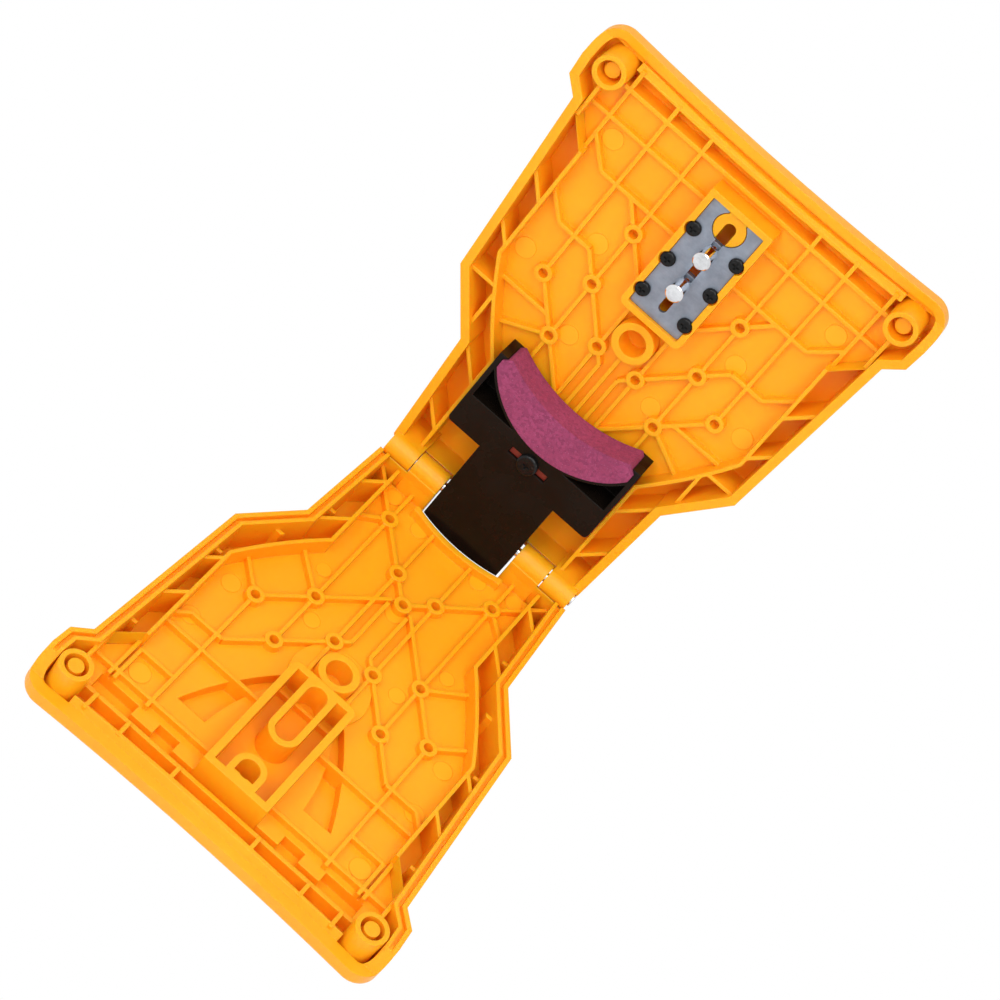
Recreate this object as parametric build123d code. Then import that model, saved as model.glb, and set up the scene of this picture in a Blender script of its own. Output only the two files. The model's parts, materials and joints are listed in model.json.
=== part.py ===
"""Bar-mounted chainsaw tooth sharpener.

Two ribbed plastic covers are hinged at a narrow waist and close like a clamshell
around the nose of a saw's guide bar. The pin cover carries the two bar pins and the
sliding stone sled; the clamp cover closes over it.

Working frame of each cover and of what it carries: the hinge axis is X at y = 0, z = 0,
+Y runs from the hinge to the mouth and +Z points out of the inner side. The parting plane
is z = 0 and the outer face is z = -DEPTH.
As the object stands, the clamp cover lies on its outer face with its mouth towards -Y, and
the pin cover stands open behind it, leaning back. At the end everything is moved so that
the origin is the bottom centre of the bounding box.
All lengths are millimetres, all angles degrees.
"""
from build123d import *
import os
from math import cos, sin, radians, hypot, atan2, degrees, sqrt

# ---- opening and fits ----
WELD = 0.4                # how far moulded features of one cover run into each other
OPEN_ANGLE = 105.0        # angle between the covers' inner sides as the object stands
PARTING_GAP = 0.3         # gap between the closed covers' rims
BAR_GAP = 1.6             # room for the saw's guide bar between the closed frames
RUN_FIT = 0.05            # radial clearance of a steel pin in its running bore
SLIDE_FIT = 0.35          # clearance on each side of a sliding plastic piece
SEAT = 0.02               # clearance of a screwed or seated piece

# ---- cover shell ----
DEPTH = 19.4              # parting plane to outer face
SKIN = 2.4                # moulded wall of floors and panels
PANEL_DROP = 11.6         # parting plane to the ribbed panel
RIB_HEIGHT = 3.0
RIB_WIDTH = 1.6
OUTER_EDGE_R = 3.0        # rounding of the outer bottom edge
PIN_RIM = 3.6             # width of the pin cover's rim
CLAMP_LIP = 1.9           # outer line of the clamp cover's double rim
CLAMP_GROOVE = 1.6        # groove between the two lines
CLAMP_BEAD = 1.5          # inner line
CLAMP_GROOVE_DEPTH = 2.2

# ---- cover outline, right half, from the hinge to the mouth ----
WAIST_HALF = 47.0
END_FACE_Y = 0.8          # outer face of the end wall, under the hinge barrels
NECK_HALF = 50.2
NECK_Y = 54.3
SHOULDER_HALF = 68.1
SHOULDER_Y = 78.8
FLANK_HALF = 74.0
FLANK_Y = 161.3
EAR_HALF = 80.5
EAR_Y = 167.5
MOUTH_HALF = 82.0
END_Y = 187.8             # mouth edge on the centre line
MOUTH_SAG = 2.6           # how far the mouth's corners stand beyond its centre
CORNER_R = 9.0

# ---- mouth end ----
RIM_END_Y = 177.0         # where the full-height rim starts to fall
RIM_FALL = 7.0            # length of that fall
LIP_TOP = -11.4
LIP_WIDTH = 2.6
CHANNEL_FLOOR = -13.0
END_WALL_Y = 183.0        # outer face of the inner end wall on the centre line
END_WALL_WIDTH = 2.6
END_WALL_SAG = 1.6
END_WALL_HALF = 63.0
END_GAP = 5.2             # open strip between end wall and end rib
END_RIB_WIDTH = 1.8

# ---- inner side wall, the edge of the ribbed panel ----
CHANNEL_HALF = 35.2       # half width of the channel at the waist
CHANNEL_END_Y = 54.5
PANEL_HALF = 58.8
PANEL_CORNER_Y = 91.5
SLANT_BULGE = 1.1         # outward bulge of the slanting wall between the two
FLARE_Y = 145.0           # where the panel flares out to the outer wall
SIDE_WALL = 1.5
SIDE_WALL_TOP = -3.0
TAIL_RIM_TOP = -7.4       # wall round the tail cut-out
WAIST_WEB_TOP = -7.4
GUSSET_ROWS_CHANNEL = (13.5, 39.5)
GUSSET_ROWS_PANEL = (94.5, 117.0)
LEVEL_RIB_Y = 82.1        # level rib on the panel, beside its slanting edge
LEVEL_WEB_Y = 79.5        # pin cover's webs outside that edge, one level
UPRIGHT_WEB_X = 51.4      # and one along y
STUB_ROWS = (42.0, 67.0, 93.0, 143.0)
STUB_DEPTH = 2.2          # how far a stub stands in from the rim
STUB_TOP = -5.0
WAIST_NEAR_Y = 6.4        # near edge of the clamp cover's panel, at the barrels' feet

# ---- rib lattice ----
NODE_X0 = 9.5             # first column of lattice nodes
NODE_DX = 16.5
NODE_DY = 18.4
NODE_R = 3.7
NODE_HOLE_R = 1.9
NODE_RISE = 0.4           # node ring above the ribs
LATTICE_A = 76.0          # y of each slanting line at the second column
LATTICE_B = 104.5
LATTICE_C = 131.5
LATTICE_D = 23.2
LATTICE_D_SLOPE = -1.07
PAIR_HALF = 4.6           # half distance of the two close ribs on the centre line
PIN_BEND_X = 35.0         # where the pin cover's slanting lines turn level
CLAMP_BEND_X = 39.8       # the same on the clamp cover
PIN_ROW_A = 141.9         # level rows of ribs
PIN_ROW_B = 161.2
CLAMP_ROW_A = 129.7
CLAMP_ROW_B = 147.4
CLAMP_ROW_C = 161.4
TURN = 9.0                # last stretch of a row, where it turns into the side wall
PIN_SPUR_SLOPE = -0.52    # slanting spurs off the lattice, down to the side wall
CLAMP_SPUR_A_SLOPE = -0.90
CLAMP_SPUR_B_SLOPE = -0.98

# ---- corner bosses ----
BOSS_X = 69.3
BOSS_Y = 178.0
BOSS_R = 6.6
BOSS_BORE_R = 4.65
PEG_R = 3.1
PEG_DROP = 0.5            # clamp cover's core below its ring
SOCKET_DROP = 3.6         # pin cover's core below its ring
BOSS_BORE_DEPTH = 8.0

# ---- middle ring ----
RING_Y = 99.0
RING_R = 8.4
RING_BORE_R = 5.4
RING_TOP = -4.5
RING_FLOOR = -15.0
PLATEAU_R = 16.8
PLATEAU_Y = 101.5
PLATEAU_RISE = 1.4

# ---- pin frame on the pin cover ----
FRAME_HALF = 14.4
FRAME_NEAR_Y = 110.8
FRAME_FAR_Y = 170.7
FRAME_WALL = 2.6
FRAME_CORNER_R = 3.0
PLATE_DROP = 1.8          # frame top to plate top
PLATE_T = 1.5
PLATE_LEDGE = 3.4         # ledge under the plate's edges
PLATE_CORNER_R = 1.2

# ---- plate slot and bar pins ----
SLOT_WIDTH = 3.6
SLOT_NEAR_Y = 118.0
KEYHOLE_Y = 161.4
KEYHOLE_R = 6.7
KEYHOLE_NECK_HALF = 4.3
KEY_SLOT_HALF = 2.4       # slot in the disc that fills the keyhole
KEY_SLOT_END_Y = 164.0
PIN_A_Y = 150.4
PIN_PITCH = 17.0
PIN_R = 3.5
PIN_TOP_Z = 9.4           # above the parting plane
PIN_NECK_R = 2.5
PIN_NECK_LENGTH = 4.2
PIN_CHAMFER = 0.5
PIN_STEM_R = 1.6
NUT_HEIGHT = 2.4
NUT_FLATS = 6.4
STEM_PROTRUSION = 0.9

# ---- plate screws ----
SCREW_X = 10.3
SCREW_NEAR_Y = 120.6
SCREW_PITCH = 16.1
SCREW_ROWS = 3
SCREW_HEAD_R = 3.0
SCREW_HEAD_H = 1.5
SCREW_SHANK_R = 1.3
SCREW_LENGTH = 8.0
SCREW_BOSS_R = 3.0
CROSS_WIDTH = 0.7
CROSS_LENGTH = 3.0
CROSS_DEPTH = 0.9

# ---- frame, slot boss and D boss on the clamp cover ----
CLAMP_FRAME_HALF = 14.9
CLAMP_FRAME_NEAR_Y = 110.0
CLAMP_FRAME_FAR_Y = 170.5
CLAMP_FRAME_WALL = 3.0
CLAMP_FRAME_FLOOR = -13.4
SLOT_BOSS_BORE_HALF = 4.3
SLOT_BOSS_WALL = 2.6
SLOT_BOSS_BORE_NEAR_Y = 113.0
SLOT_BOSS_BORE_FAR_Y = 142.2
D_BORE_HALF = 4.3
D_BORE_NEAR_Y = 157.4
D_BORE_FAR_Y = 165.6
D_WALL = 2.6
CROSS_RIB_Y = 117.6
CROSS_RIB_HEIGHT = 3.0
HORN_HALF = 36.6          # outer corner of the curved recess beside the frame
HORN_ROOT = 13.0          # width of its foot
HORN_NEAR_Y = 111.5
HORN_FAR_Y = 151.0
DEEP_END_Y = 165.0        # far edge of the clamp cover's panel
BLOCK_LENGTH = 5.0        # stepped blocks on that edge
NEAR_BLOCK_X = 25.0       # outer end of the block beside the frame
FAR_BLOCK_X = (34.5, 44.5)
STRIP_RIB_X = 18.8        # rib across the open strip, beside the frame

# ---- hinge ----
KNUCKLE_R = 5.3
KNUCKLE_FOOT_Y = 6.6      # front of a barrel's foot
KNUCKLE_ROOM = 0.6        # round a barrel, in the other cover's end wall
HINGE_PIN_R = 2.0
HINGE_HEAD_R = 2.7
HINGE_HEAD_T = 0.9
HINGE_HALF = 46.2         # outer end of the outer knuckles
KNUCKLE_SPLIT = 33.3      # between inner and outer knuckle
KNUCKLE_GAP = 0.4
TAIL_OPENING_HALF = 19.4  # inner ends of the inner knuckles
RIM_CUT_Y = 10.0          # tail cut-out in the clamp cover at its sides
RIM_CUT_SAG = 3.0

# ---- sled ----
TAIL_HALF = 18.5
TAIL_END_Y = -10.6
TAIL_BULGE = 2.4
TAIL_DROP = 5.0           # hinge axis to the tail's underside; its top is the sled's top
HEAD_NEAR_Y = 28.5
SLED_TOP = 6.4
SLED_FLOOR = -8.2         # underside of the sled, just over the ribs
STONE_SEAT = 1.2          # thickness of the sled below the stone
SEAT_SETBACK = 2.0        # front edge of that seat, behind the stone's face
SEAT_HALF = 28.6          # half width of the seat's hollow front
ARM_WIDTH = 2.0
ARM_END_Y = 65.4
POCKET_Y = 43.4           # near edge of the pockets behind the stone
STONE_WALL = 1.3          # wall that follows the stone's back
SLED_CORNER_R = 2.0
TIP_FIT = 0.3             # clearance of the arms' inturned tips from the stone's ends
SLED_SLOT_Y = 36.4
SLED_SLOT_HALF = 8.9
SLED_SLOT_WIDTH = 3.4
TRAVEL = 6.0              # how far the sled can be pressed in
RAIL_HALF = 10.8          # guide rails under the sled
RAIL_NEAR_Y = 21.0
RAIL_WIDTH = 2.4

# ---- stone ----
STONE_TOP = 6.9
STONE_FACE_R = 64.0       # concave working face
STONE_BACK_R = 39.5       # convex back
STONE_FACE_Y = 59.5       # working face on the centre line
STONE_BACK_Y = 42.8
STONE_HALF = 32.5
STONE_SIDE_Y = 63.6       # where the stone's ends are cropped
STONE_FACE_HALF = 29.2

# ---- sled screw, keeper and springs ----
SLED_SCREW_HEAD_R = 4.4
SLED_SCREW_HEAD_H = 1.8
SLED_SCREW_R = 1.5
KEEPER_HALF = 9.2
KEEPER_NEAR_Y = 31.0
KEEPER_FAR_Y = 54.0
KEY_DROP = 1.4            # sled's top to the keys that fill its slot
KEY_NEAR_X = 2.2          # keys' inner ends, beside the screw
SPRING_X = 15.6
SPRING_R = 3.0
SPRING_WIRE_R = 0.45
SPRING_TURNS = 9
SPRING_LENGTH = 24.0
SPRING_NEAR_Y = 12.85     # near end, where the sled's lugs bear on the springs at rest
SPRING_AXIS_Z = -12.6
SPRING_POST = 3.0
LUG_T = 2.6               # lug under the sled's tail that bears on a spring


# ------------------------------------------------------------------ helpers
def slab(face, low, high):
    """Solid from a flat face, between two heights."""
    return extrude(Pos(0, 0, low) * face, amount=high - low)


def rect(x0, x1, y0, y1):
    """Rectangle between two x and two y values."""
    return Pos((x0 + x1) / 2, (y0 + y1) / 2) * Rectangle(x1 - x0, y1 - y0)


def strip(start, end, width):
    """Flat strip along a line."""
    dx = end[0] - start[0]
    dy = end[1] - start[1]
    middle = Pos((start[0] + end[0]) / 2, (start[1] + end[1]) / 2)
    return middle * Rot(0, 0, degrees(atan2(dy, dx))) * Rectangle(hypot(dx, dy), width)


def disc(x, y, radius):
    return Pos(x, y) * Circle(radius)


def cylinder(x, y, radius, low, high):
    return slab(disc(x, y, radius), low, high)


def mirrored(point):
    return (-point[0], point[1])


def both_sides(strips, width):
    """Strips given for the right half, with their mirror images."""
    faces = []
    for start, end in strips:
        faces.append(strip(start, end, width))
        faces.append(strip(mirrored(start), mirrored(end), width))
    return Sketch() + faces


def column(index):
    """x of a lattice column; column 0 is the centre line."""
    if index == 0:
        return 0.0
    return NODE_X0 + (index - 1) * NODE_DX


def line_y(second_column_y, x, slope=NODE_DY / NODE_DX):
    """y of a slanting lattice line at x."""
    return second_column_y + (x - column(2)) * slope


def arc_edge(half, middle_y, sag):
    """Shallow arc across the cover; its ends lie sag beyond its middle."""
    return ThreePointArc((half, middle_y + sag), (0, middle_y), (-half, middle_y + sag))


def face_between(*edges):
    return make_face(Curve() + list(edges))


def sag_at(x, sag, half):
    """Height of such an arc over its middle at x, for a shallow arc."""
    return sag * (x / half) ** 2


# ------------------------------------------------------------------ outlines
def outline():
    """Plan of a cover, closed by the concave mouth edge."""
    corner = (MOUTH_HALF + 0.4, END_Y + MOUTH_SAG)
    right = [
        (WAIST_HALF, END_FACE_Y),
        (NECK_HALF, NECK_Y),
        (SHOULDER_HALF, SHOULDER_Y),
        (FLANK_HALF, FLANK_Y),
        (EAR_HALF, EAR_Y),
        corner,
    ]
    left = [mirrored(point) for point in reversed(right)]
    sides = Polyline(*left, *right)
    mouth = arc_edge(corner[0], END_Y, MOUTH_SAG)
    face = face_between(sides, mouth)
    mouth_corners = face.vertices().sort_by(Axis.Y)[-2:]
    return fillet(mouth_corners, CORNER_R)


def panel_outline():
    """Plan of the raised ribbed panel, out to the outer side of its side wall."""
    reach = EAR_HALF
    start = (CHANNEL_HALF + SIDE_WALL, CHANNEL_END_Y)
    end = (PANEL_HALF + SIDE_WALL, PANEL_CORNER_Y)
    length = hypot(end[0] - start[0], end[1] - start[1])
    middle = (
        (start[0] + end[0]) / 2 + SLANT_BULGE * (end[1] - start[1]) / length,
        (start[1] + end[1]) / 2 - SLANT_BULGE * (end[0] - start[0]) / length,
    )
    mouth = [
        end,
        (PANEL_HALF + SIDE_WALL, FLARE_Y),
        (reach, FLARE_Y + (reach - PANEL_HALF - SIDE_WALL) * NODE_DY / NODE_DX),
        (reach, END_Y + MOUTH_SAG),
    ]
    far_side = [mirrored(point) for point in reversed(mouth)]
    waist = [mirrored(start), (-start[0], 0), (start[0], 0), start]
    return face_between(
        ThreePointArc(start, middle, end),
        Polyline(*mouth, *far_side),
        ThreePointArc(mirrored(end), mirrored(middle), mirrored(start)),
        Polyline(*waist),
    )


def lattice_nodes(rows):
    """Node centres of both halves: (column, y) pairs."""
    points = []
    for index, y in rows:
        points.append((column(index), y))
        if index > 0:
            points.append((-column(index), y))
    return points


# ------------------------------------------------------------------ cover pieces
RIM_TOP = -PARTING_GAP / 2
FRAME_TOP = -BAR_GAP / 2
FLOOR_TOP = -DEPTH + SKIN
PANEL_TOP = -PANEL_DROP
RIB_TOP = PANEL_TOP + RIB_HEIGHT
PLATE_TOP = FRAME_TOP - PLATE_DROP
END_RIB_Y = END_WALL_Y - END_WALL_WIDTH - END_GAP


def shell(rim_width):
    """Tray with a rounded outer edge."""
    body = slab(outline(), -DEPTH, RIM_TOP)
    bottom = body.faces().sort_by(Axis.Z)[0]
    body = fillet(bottom.edges(), OUTER_EDGE_R)
    cavity = offset(outline(), amount=-rim_width, kind=Kind.INTERSECTION)
    return body - slab(cavity, FLOOR_TOP, 1)


def panel(rim_width, wall_near):
    """Raised panel with its side wall, inside the rim."""
    inside = offset(outline(), amount=-rim_width + WELD, kind=Kind.INTERSECTION)
    plan = panel_outline() & inside
    near = rect(-EAR_HALF, EAR_HALF, CHANNEL_END_Y, END_RIB_Y)
    body = slab(plan & near, FLOOR_TOP - WELD, PANEL_TOP)
    wall = panel_outline() - offset(panel_outline(), amount=-SIDE_WALL, kind=Kind.INTERSECTION)
    wall = wall & rect(-PANEL_HALF - SIDE_WALL, PANEL_HALF + SIDE_WALL, wall_near, FLARE_Y)
    return body + slab(wall & inside, FLOOR_TOP - WELD, SIDE_WALL_TOP)


def outer_recess(near, far, frame_half, frame_near, frame_far):
    """Hollow on the outer side, below the raised panel, that keeps the wall even."""
    plan = offset(panel_outline(), amount=-SIDE_WALL - SKIN, kind=Kind.INTERSECTION)
    plan = plan & rect(-PANEL_HALF, PANEL_HALF, near, far)
    tub = rect(-frame_half, frame_half, frame_near, frame_far)
    plan = plan - tub - disc(0, RING_Y, RING_R)
    return slab(plan, -DEPTH - 1, PANEL_TOP - SKIN)


def mouth_cut():
    """Removes the rim across the mouth and lets it fall towards the lip."""
    side = [
        (RIM_END_Y, 1),
        (RIM_END_Y, RIM_TOP),
        (RIM_END_Y + RIM_FALL, LIP_TOP),
        (END_Y + 3 * MOUTH_SAG, LIP_TOP),
        (END_Y + 3 * MOUTH_SAG, 1),
    ]
    profile = make_face(Polyline(*side, side[0]))
    return extrude(Plane.YZ * profile, amount=MOUTH_HALF + 5, both=True)


def mouth_end():
    """Low lip floor, inner end wall and end rib, all following the mouth's arc."""
    half = MOUTH_HALF
    sag = END_WALL_SAG * (half / END_WALL_HALF) ** 2
    floor = face_between(
        arc_edge(half, END_WALL_Y - 1, sag),
        Line((-half, END_WALL_Y - 1 + sag), (-half, END_Y + MOUTH_SAG)),
        arc_edge(half, END_Y, MOUTH_SAG),
        Line((half, END_Y + MOUTH_SAG), (half, END_WALL_Y - 1 + sag)),
    )
    inside = offset(outline(), amount=-1.0, kind=Kind.INTERSECTION)
    body = slab(floor & inside, FLOOR_TOP - WELD, CHANNEL_FLOOR)
    lip = outline() - offset(outline(), amount=-LIP_WIDTH, kind=Kind.INTERSECTION)
    lip = lip & rect(-half - 1, half + 1, RIM_END_Y, END_Y + 2 * MOUTH_SAG)
    body += slab(lip & inside, FLOOR_TOP - WELD, LIP_TOP)
    wall = face_between(
        arc_edge(END_WALL_HALF, END_WALL_Y - END_WALL_WIDTH, END_WALL_SAG),
        Line(
            (-END_WALL_HALF, END_WALL_Y - END_WALL_WIDTH + END_WALL_SAG),
            (-END_WALL_HALF, END_WALL_Y + END_WALL_SAG),
        ),
        arc_edge(END_WALL_HALF, END_WALL_Y, END_WALL_SAG),
        Line(
            (END_WALL_HALF, END_WALL_Y + END_WALL_SAG),
            (END_WALL_HALF, END_WALL_Y - END_WALL_WIDTH + END_WALL_SAG),
        ),
    )
    body += slab(wall, FLOOR_TOP - WELD, RIB_TOP)
    return body


def end_ribs(columns):
    """Short ribs that bridge the open strip behind the end wall."""
    ribs = []
    for x in columns:
        far = END_WALL_Y - 1 + sag_at(x, END_WALL_SAG, END_WALL_HALF)
        ribs.append(((x, END_RIB_Y - 0.5), (x, far)))
    return slab(both_sides(ribs, RIB_WIDTH), FLOOR_TOP - WELD, RIB_TOP)


def gussets(rim_width, extra=()):
    """Slanting webs between the side wall and the outer wall, and extra straight ones."""
    slope = NODE_DY / NODE_DX
    inside = offset(outline(), amount=-rim_width + WELD, kind=Kind.INTERSECTION)
    outside = inside - panel_outline()
    starts = [
        *((CHANNEL_HALF, y) for y in GUSSET_ROWS_CHANNEL),
        *((PANEL_HALF, y) for y in GUSSET_ROWS_PANEL),
        (PANEL_HALF, FLARE_Y - SIDE_WALL / 2),
    ]
    reach = MOUTH_HALF - PANEL_HALF
    webs = []
    for x, y in starts:
        webs.append(((x, y), (x + reach, y + reach * slope)))
    webs += extra
    plan = both_sides(webs, SIDE_WALL) & outside
    return slab(plan, FLOOR_TOP - WELD, SIDE_WALL_TOP)


def rim_stubs(rim_width):
    """Small upright stubs on the inner face of the outer wall."""
    inside = offset(outline(), amount=-rim_width + WELD, kind=Kind.INTERSECTION)
    stubs = []
    for y in STUB_ROWS:
        stubs.append(((CHANNEL_HALF, y), (EAR_HALF, y)))
    ring = inside - offset(outline(), amount=-rim_width - STUB_DEPTH, kind=Kind.INTERSECTION)
    return slab(both_sides(stubs, RIB_WIDTH) & ring, FLOOR_TOP - WELD, STUB_TOP)


def ribs(strips, nodes, limit):
    """Low ribs and node rings on the panel, kept inside the limit."""
    plan = both_sides(strips, RIB_WIDTH) & limit
    body = slab(plan, PANEL_TOP - 0.3, RIB_TOP)
    rings = Sketch() + [disc(x, y, NODE_R) for x, y in nodes]
    return body + slab(rings, PANEL_TOP - 0.3, RIB_TOP + NODE_RISE)


def node_holes(nodes):
    holes = Sketch() + [disc(x, y, NODE_HOLE_R) for x, y in nodes]
    return slab(holes, PANEL_TOP - SKIN / 2, RIB_TOP + 1)


def boss_posts():
    posts = Sketch() + [disc(BOSS_X, BOSS_Y, BOSS_R), disc(-BOSS_X, BOSS_Y, BOSS_R)]
    return slab(posts, FLOOR_TOP - WELD, RIM_TOP)


def boss_bores():
    bores = Sketch() + [disc(BOSS_X, BOSS_Y, BOSS_BORE_R), disc(-BOSS_X, BOSS_Y, BOSS_BORE_R)]
    return slab(bores, RIM_TOP - BOSS_BORE_DEPTH, 1)


def boss_cores(top):
    cores = Sketch() + [disc(BOSS_X, BOSS_Y, PEG_R), disc(-BOSS_X, BOSS_Y, PEG_R)]
    return slab(cores, RIM_TOP - BOSS_BORE_DEPTH - WELD, top)


def boss_webs():
    """Webs as tall as the side walls, from each corner boss back to the flare."""
    flare = FLARE_Y + (BOSS_X - PANEL_HALF) * NODE_DY / NODE_DX
    webs = both_sides([((BOSS_X, BOSS_Y), (BOSS_X, flare - 1))], SIDE_WALL)
    return slab(webs, FLOOR_TOP - WELD, SIDE_WALL_TOP)


def edge_rib():
    """Low rib along the panel's edge, from the flare to the mouth's end wall."""
    edge = PANEL_HALF + SIDE_WALL
    return ((edge, END_WALL_Y), (edge, FLARE_Y))


def middle_ring():
    ring = disc(0, RING_Y, RING_R)
    body = slab(ring, FLOOR_TOP - WELD, RING_TOP)
    return body


def ring_bore():
    return cylinder(0, RING_Y, RING_BORE_R, RING_FLOOR, 1)


def knuckle(x0, x1):
    """Hinge barrel between two x values, with the foot that ties it to its cover."""
    barrel = extrude(Plane.YZ.offset(x0) * Circle(KNUCKLE_R), amount=x1 - x0)
    foot_profile = [
        (0, 0),
        (KNUCKLE_R, 0),
        (KNUCKLE_FOOT_Y, PANEL_TOP),
        (KNUCKLE_FOOT_Y, FLOOR_TOP - WELD),
        (END_FACE_Y + WELD, FLOOR_TOP - WELD),
        (END_FACE_Y + WELD, -KNUCKLE_R + WELD),
    ]
    foot = make_face(Polyline(*foot_profile, foot_profile[0]))
    return barrel + extrude(Plane.YZ.offset(x0) * foot, amount=x1 - x0)


def barrel_room(x0, x1):
    """Hollow in the end wall that the other cover's barrels turn in."""
    return extrude(Plane.YZ.offset(x0) * Circle(KNUCKLE_R + KNUCKLE_ROOM), amount=x1 - x0)


def hinge_bore(half):
    return extrude(Plane.YZ * Circle(half), amount=HINGE_HALF + 2, both=True)


# ------------------------------------------------------------------ pin cover
def screw_places():
    places = []
    for row in range(SCREW_ROWS):
        for side in (-1, 1):
            places.append((side * SCREW_X, SCREW_NEAR_Y + row * SCREW_PITCH))
    return places


def pin_frame():
    """Raised frame that holds the pin plate, with a ledge and screw bosses."""
    outer = rect(-FRAME_HALF, FRAME_HALF, FRAME_NEAR_Y, FRAME_FAR_Y)
    outer = fillet(outer.vertices().sort_by(Axis.Y)[:2], FRAME_CORNER_R)
    body = slab(outer, -DEPTH, FRAME_TOP)
    recess = slab(plate_plan(SLIDE_FIT / 2, keyhole=False), PLATE_TOP - PLATE_T, 1)
    well = rect(
        -plate_half() + PLATE_LEDGE,
        plate_half() - PLATE_LEDGE,
        plate_near() + PLATE_LEDGE,
        plate_far() - 1.0,
    )
    body = body - recess - slab(well, FLOOR_TOP, 1)
    key = disc(0, KEYHOLE_Y, KEYHOLE_R - SLIDE_FIT)
    neck_half = KEYHOLE_NECK_HALF - SLIDE_FIT
    key = key + rect(-neck_half, neck_half, KEYHOLE_Y, plate_far() + 1)
    body += slab(key, PLATE_TOP - PLATE_T, PLATE_TOP)
    key_slot = rect(-KEY_SLOT_HALF, KEY_SLOT_HALF, KEYHOLE_Y - KEYHOLE_R, KEY_SLOT_END_Y - KEY_SLOT_HALF)
    key_slot = key_slot + disc(0, KEY_SLOT_END_Y - KEY_SLOT_HALF, KEY_SLOT_HALF)
    body -= slab(key_slot, PLATE_TOP - PLATE_T - 1, 1)
    for x, y in screw_places():
        scallop = SCREW_HEAD_R + SLIDE_FIT
        body -= cylinder(x, y, scallop, PLATE_TOP, 1)
        shank = SCREW_SHANK_R + SEAT
        body -= cylinder(x, y, shank, PLATE_TOP - SCREW_LENGTH - 0.5, 1)
    return body


def plate_half():
    return FRAME_HALF - FRAME_WALL


def plate_near():
    return FRAME_NEAR_Y + FRAME_WALL


def plate_far():
    return FRAME_FAR_Y - FRAME_WALL


def plate_plan(grow, keyhole=True):
    """Plan of the pin plate, grown by a clearance on every side."""
    half = plate_half() - SLIDE_FIT / 2 + grow
    near = plate_near() + SLIDE_FIT / 2 - grow
    far = plate_far() - SLIDE_FIT / 2 + grow
    plan = rect(-half, half, near, far)
    plan = fillet(plan.vertices().sort_by(Axis.Y)[:2], PLATE_CORNER_R)
    if keyhole:
        plan -= disc(0, KEYHOLE_Y, KEYHOLE_R)
        plan -= rect(-KEYHOLE_NECK_HALF, KEYHOLE_NECK_HALF, KEYHOLE_Y, far + 1)
        plan -= disc(0, SLOT_NEAR_Y + SLOT_WIDTH / 2, SLOT_WIDTH / 2)
        plan -= rect(-SLOT_WIDTH / 2, SLOT_WIDTH / 2, SLOT_NEAR_Y + SLOT_WIDTH / 2, KEYHOLE_Y)
    return plan


def pin_cover_ribs():
    x2 = column(2)
    x3 = column(3)
    b_end = PIN_BEND_X
    c_start = FRAME_HALF - 1
    b_turn = PANEL_HALF - TURN
    edge = PANEL_HALF + SIDE_WALL
    b_row = line_y(LATTICE_B, b_end)
    level_x = x2 + (LEVEL_RIB_Y - LATTICE_A) * NODE_DX / NODE_DY
    strips = [
        ((x2, CHANNEL_END_Y), (x2, END_RIB_Y)),
        ((x3, line_y(LATTICE_A, x3)), (x3, END_RIB_Y)),
        ((column(1), CHANNEL_END_Y), (column(1), FRAME_NEAR_Y)),
        ((PAIR_HALF, CHANNEL_END_Y), (PAIR_HALF, line_y(LATTICE_B, PAIR_HALF))),
        ((PAIR_HALF, line_y(LATTICE_B, PAIR_HALF)), (b_end, b_row)),
        ((b_end, b_row), (b_turn, b_row)),
        ((b_turn, b_row), (edge, b_row + edge - b_turn)),
        ((x2 - NODE_DX, line_y(LATTICE_A, x2 - NODE_DX)), (x3, line_y(LATTICE_A, x3))),
        ((x2, LATTICE_A), (edge, LATTICE_A + PIN_SPUR_SLOPE * (edge - x2))),
        ((c_start, line_y(LATTICE_C, c_start)), (b_end, line_y(LATTICE_C, b_end))),
        ((c_start, PIN_ROW_A), (b_turn, PIN_ROW_A)),
        ((b_turn, PIN_ROW_A), (edge, PIN_ROW_A + edge - b_turn)),
        ((c_start, PIN_ROW_B), (EAR_HALF, PIN_ROW_B)),
        ((0, CHANNEL_END_Y), (0, RING_Y)),
        ((level_x, LEVEL_RIB_Y), (PANEL_HALF, LEVEL_RIB_Y)),
        edge_rib(),
    ]
    return strips


PIN_NODES = lattice_nodes(
    [
        (1, line_y(LATTICE_B, NODE_X0)),
        (2, LATTICE_A),
        (2, LATTICE_B),
        (2, LATTICE_C),
        (3, line_y(LATTICE_A, column(3))),
    ]
)


def sled_bed():
    """Rails and spring posts on the deep floor of the sled's channel."""
    body = None
    for side in (-1, 1):
        x0 = side * RAIL_HALF - RAIL_WIDTH / 2
        plan = rect(x0, x0 + RAIL_WIDTH, RAIL_NEAR_Y, CHANNEL_END_Y + 1)
        rail = slab(plan, FLOOR_TOP - WELD, rail_top())
        body = rail if body is None else body + rail
        spring_x = side * SPRING_X
        post_y = SPRING_NEAR_Y + SPRING_LENGTH
        half = SPRING_R + SLIDE_FIT
        post = slab(
            rect(spring_x - half, spring_x + half, post_y, post_y + SPRING_POST),
            FLOOR_TOP - WELD,
            SLED_FLOOR - SLIDE_FIT,
        )
        body += post
    return body


def rail_top():
    return SLED_FLOOR - SEAT


def guide_walls():
    """Side walls beside the sled, from the end wall to the panel."""
    near = END_FACE_Y + PIN_RIM - WELD
    walls = [((CHANNEL_HALF + SIDE_WALL / 2, near), (CHANNEL_HALF + SIDE_WALL / 2, CHANNEL_END_Y))]
    return slab(both_sides(walls, SIDE_WALL), FLOOR_TOP - WELD, SIDE_WALL_TOP)


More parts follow.
